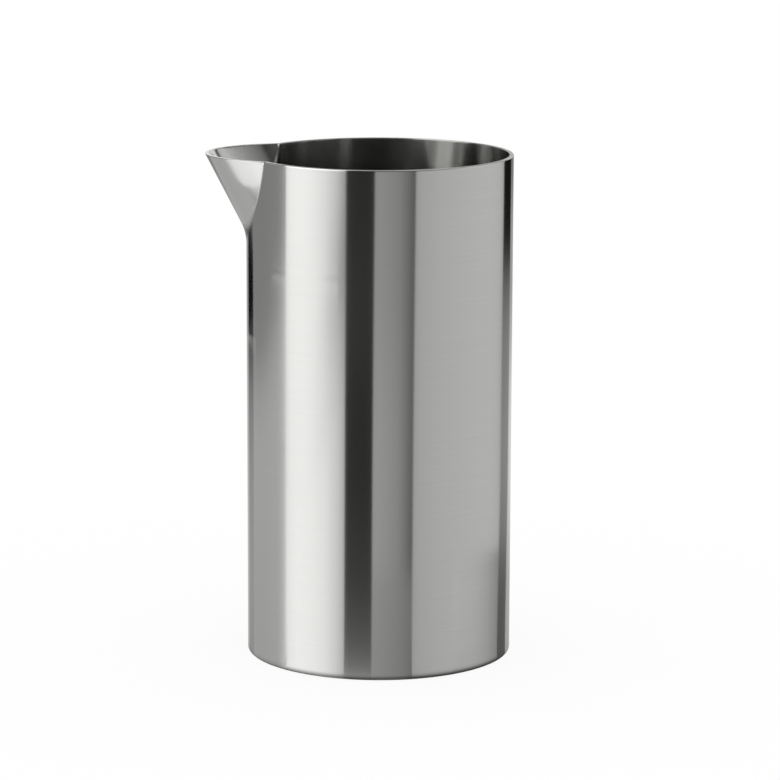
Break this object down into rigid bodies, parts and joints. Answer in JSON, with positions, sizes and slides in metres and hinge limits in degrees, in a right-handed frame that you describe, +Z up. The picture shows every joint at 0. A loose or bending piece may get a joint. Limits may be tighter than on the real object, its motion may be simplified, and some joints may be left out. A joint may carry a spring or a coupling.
{
  "type": "cream jug",
  "caption": "Small cylindrical cream jug of satin stainless steel with a flat base, an open mouth and a short leaning spout welded at the rim.",
  "frame": {"origin": "on the body tube's axis, at the table that the jug stands on", "axes": "+Z up along the body tube's axis, -X towards the spout's tip, so the jug is the same on both sides of the XZ plane"},
  "size_m": [0.0578, 0.05, 0.095],
  "materials": {
    "body_steel": "satin, brushed round the body",
    "base_steel": "satin, brushed in circles",
    "spout_steel": "satin, brushed up the spout outside and round it inside",
    "weld_steel": "ground and blended weld"
  },
  "bodies": {
    "root": {"body_tube": "body_steel", "base_disc": "base_steel", "spout": "spout_steel", "spout_weld": "weld_steel", "base_weld": "weld_steel"}
  },
  "joints": []
}
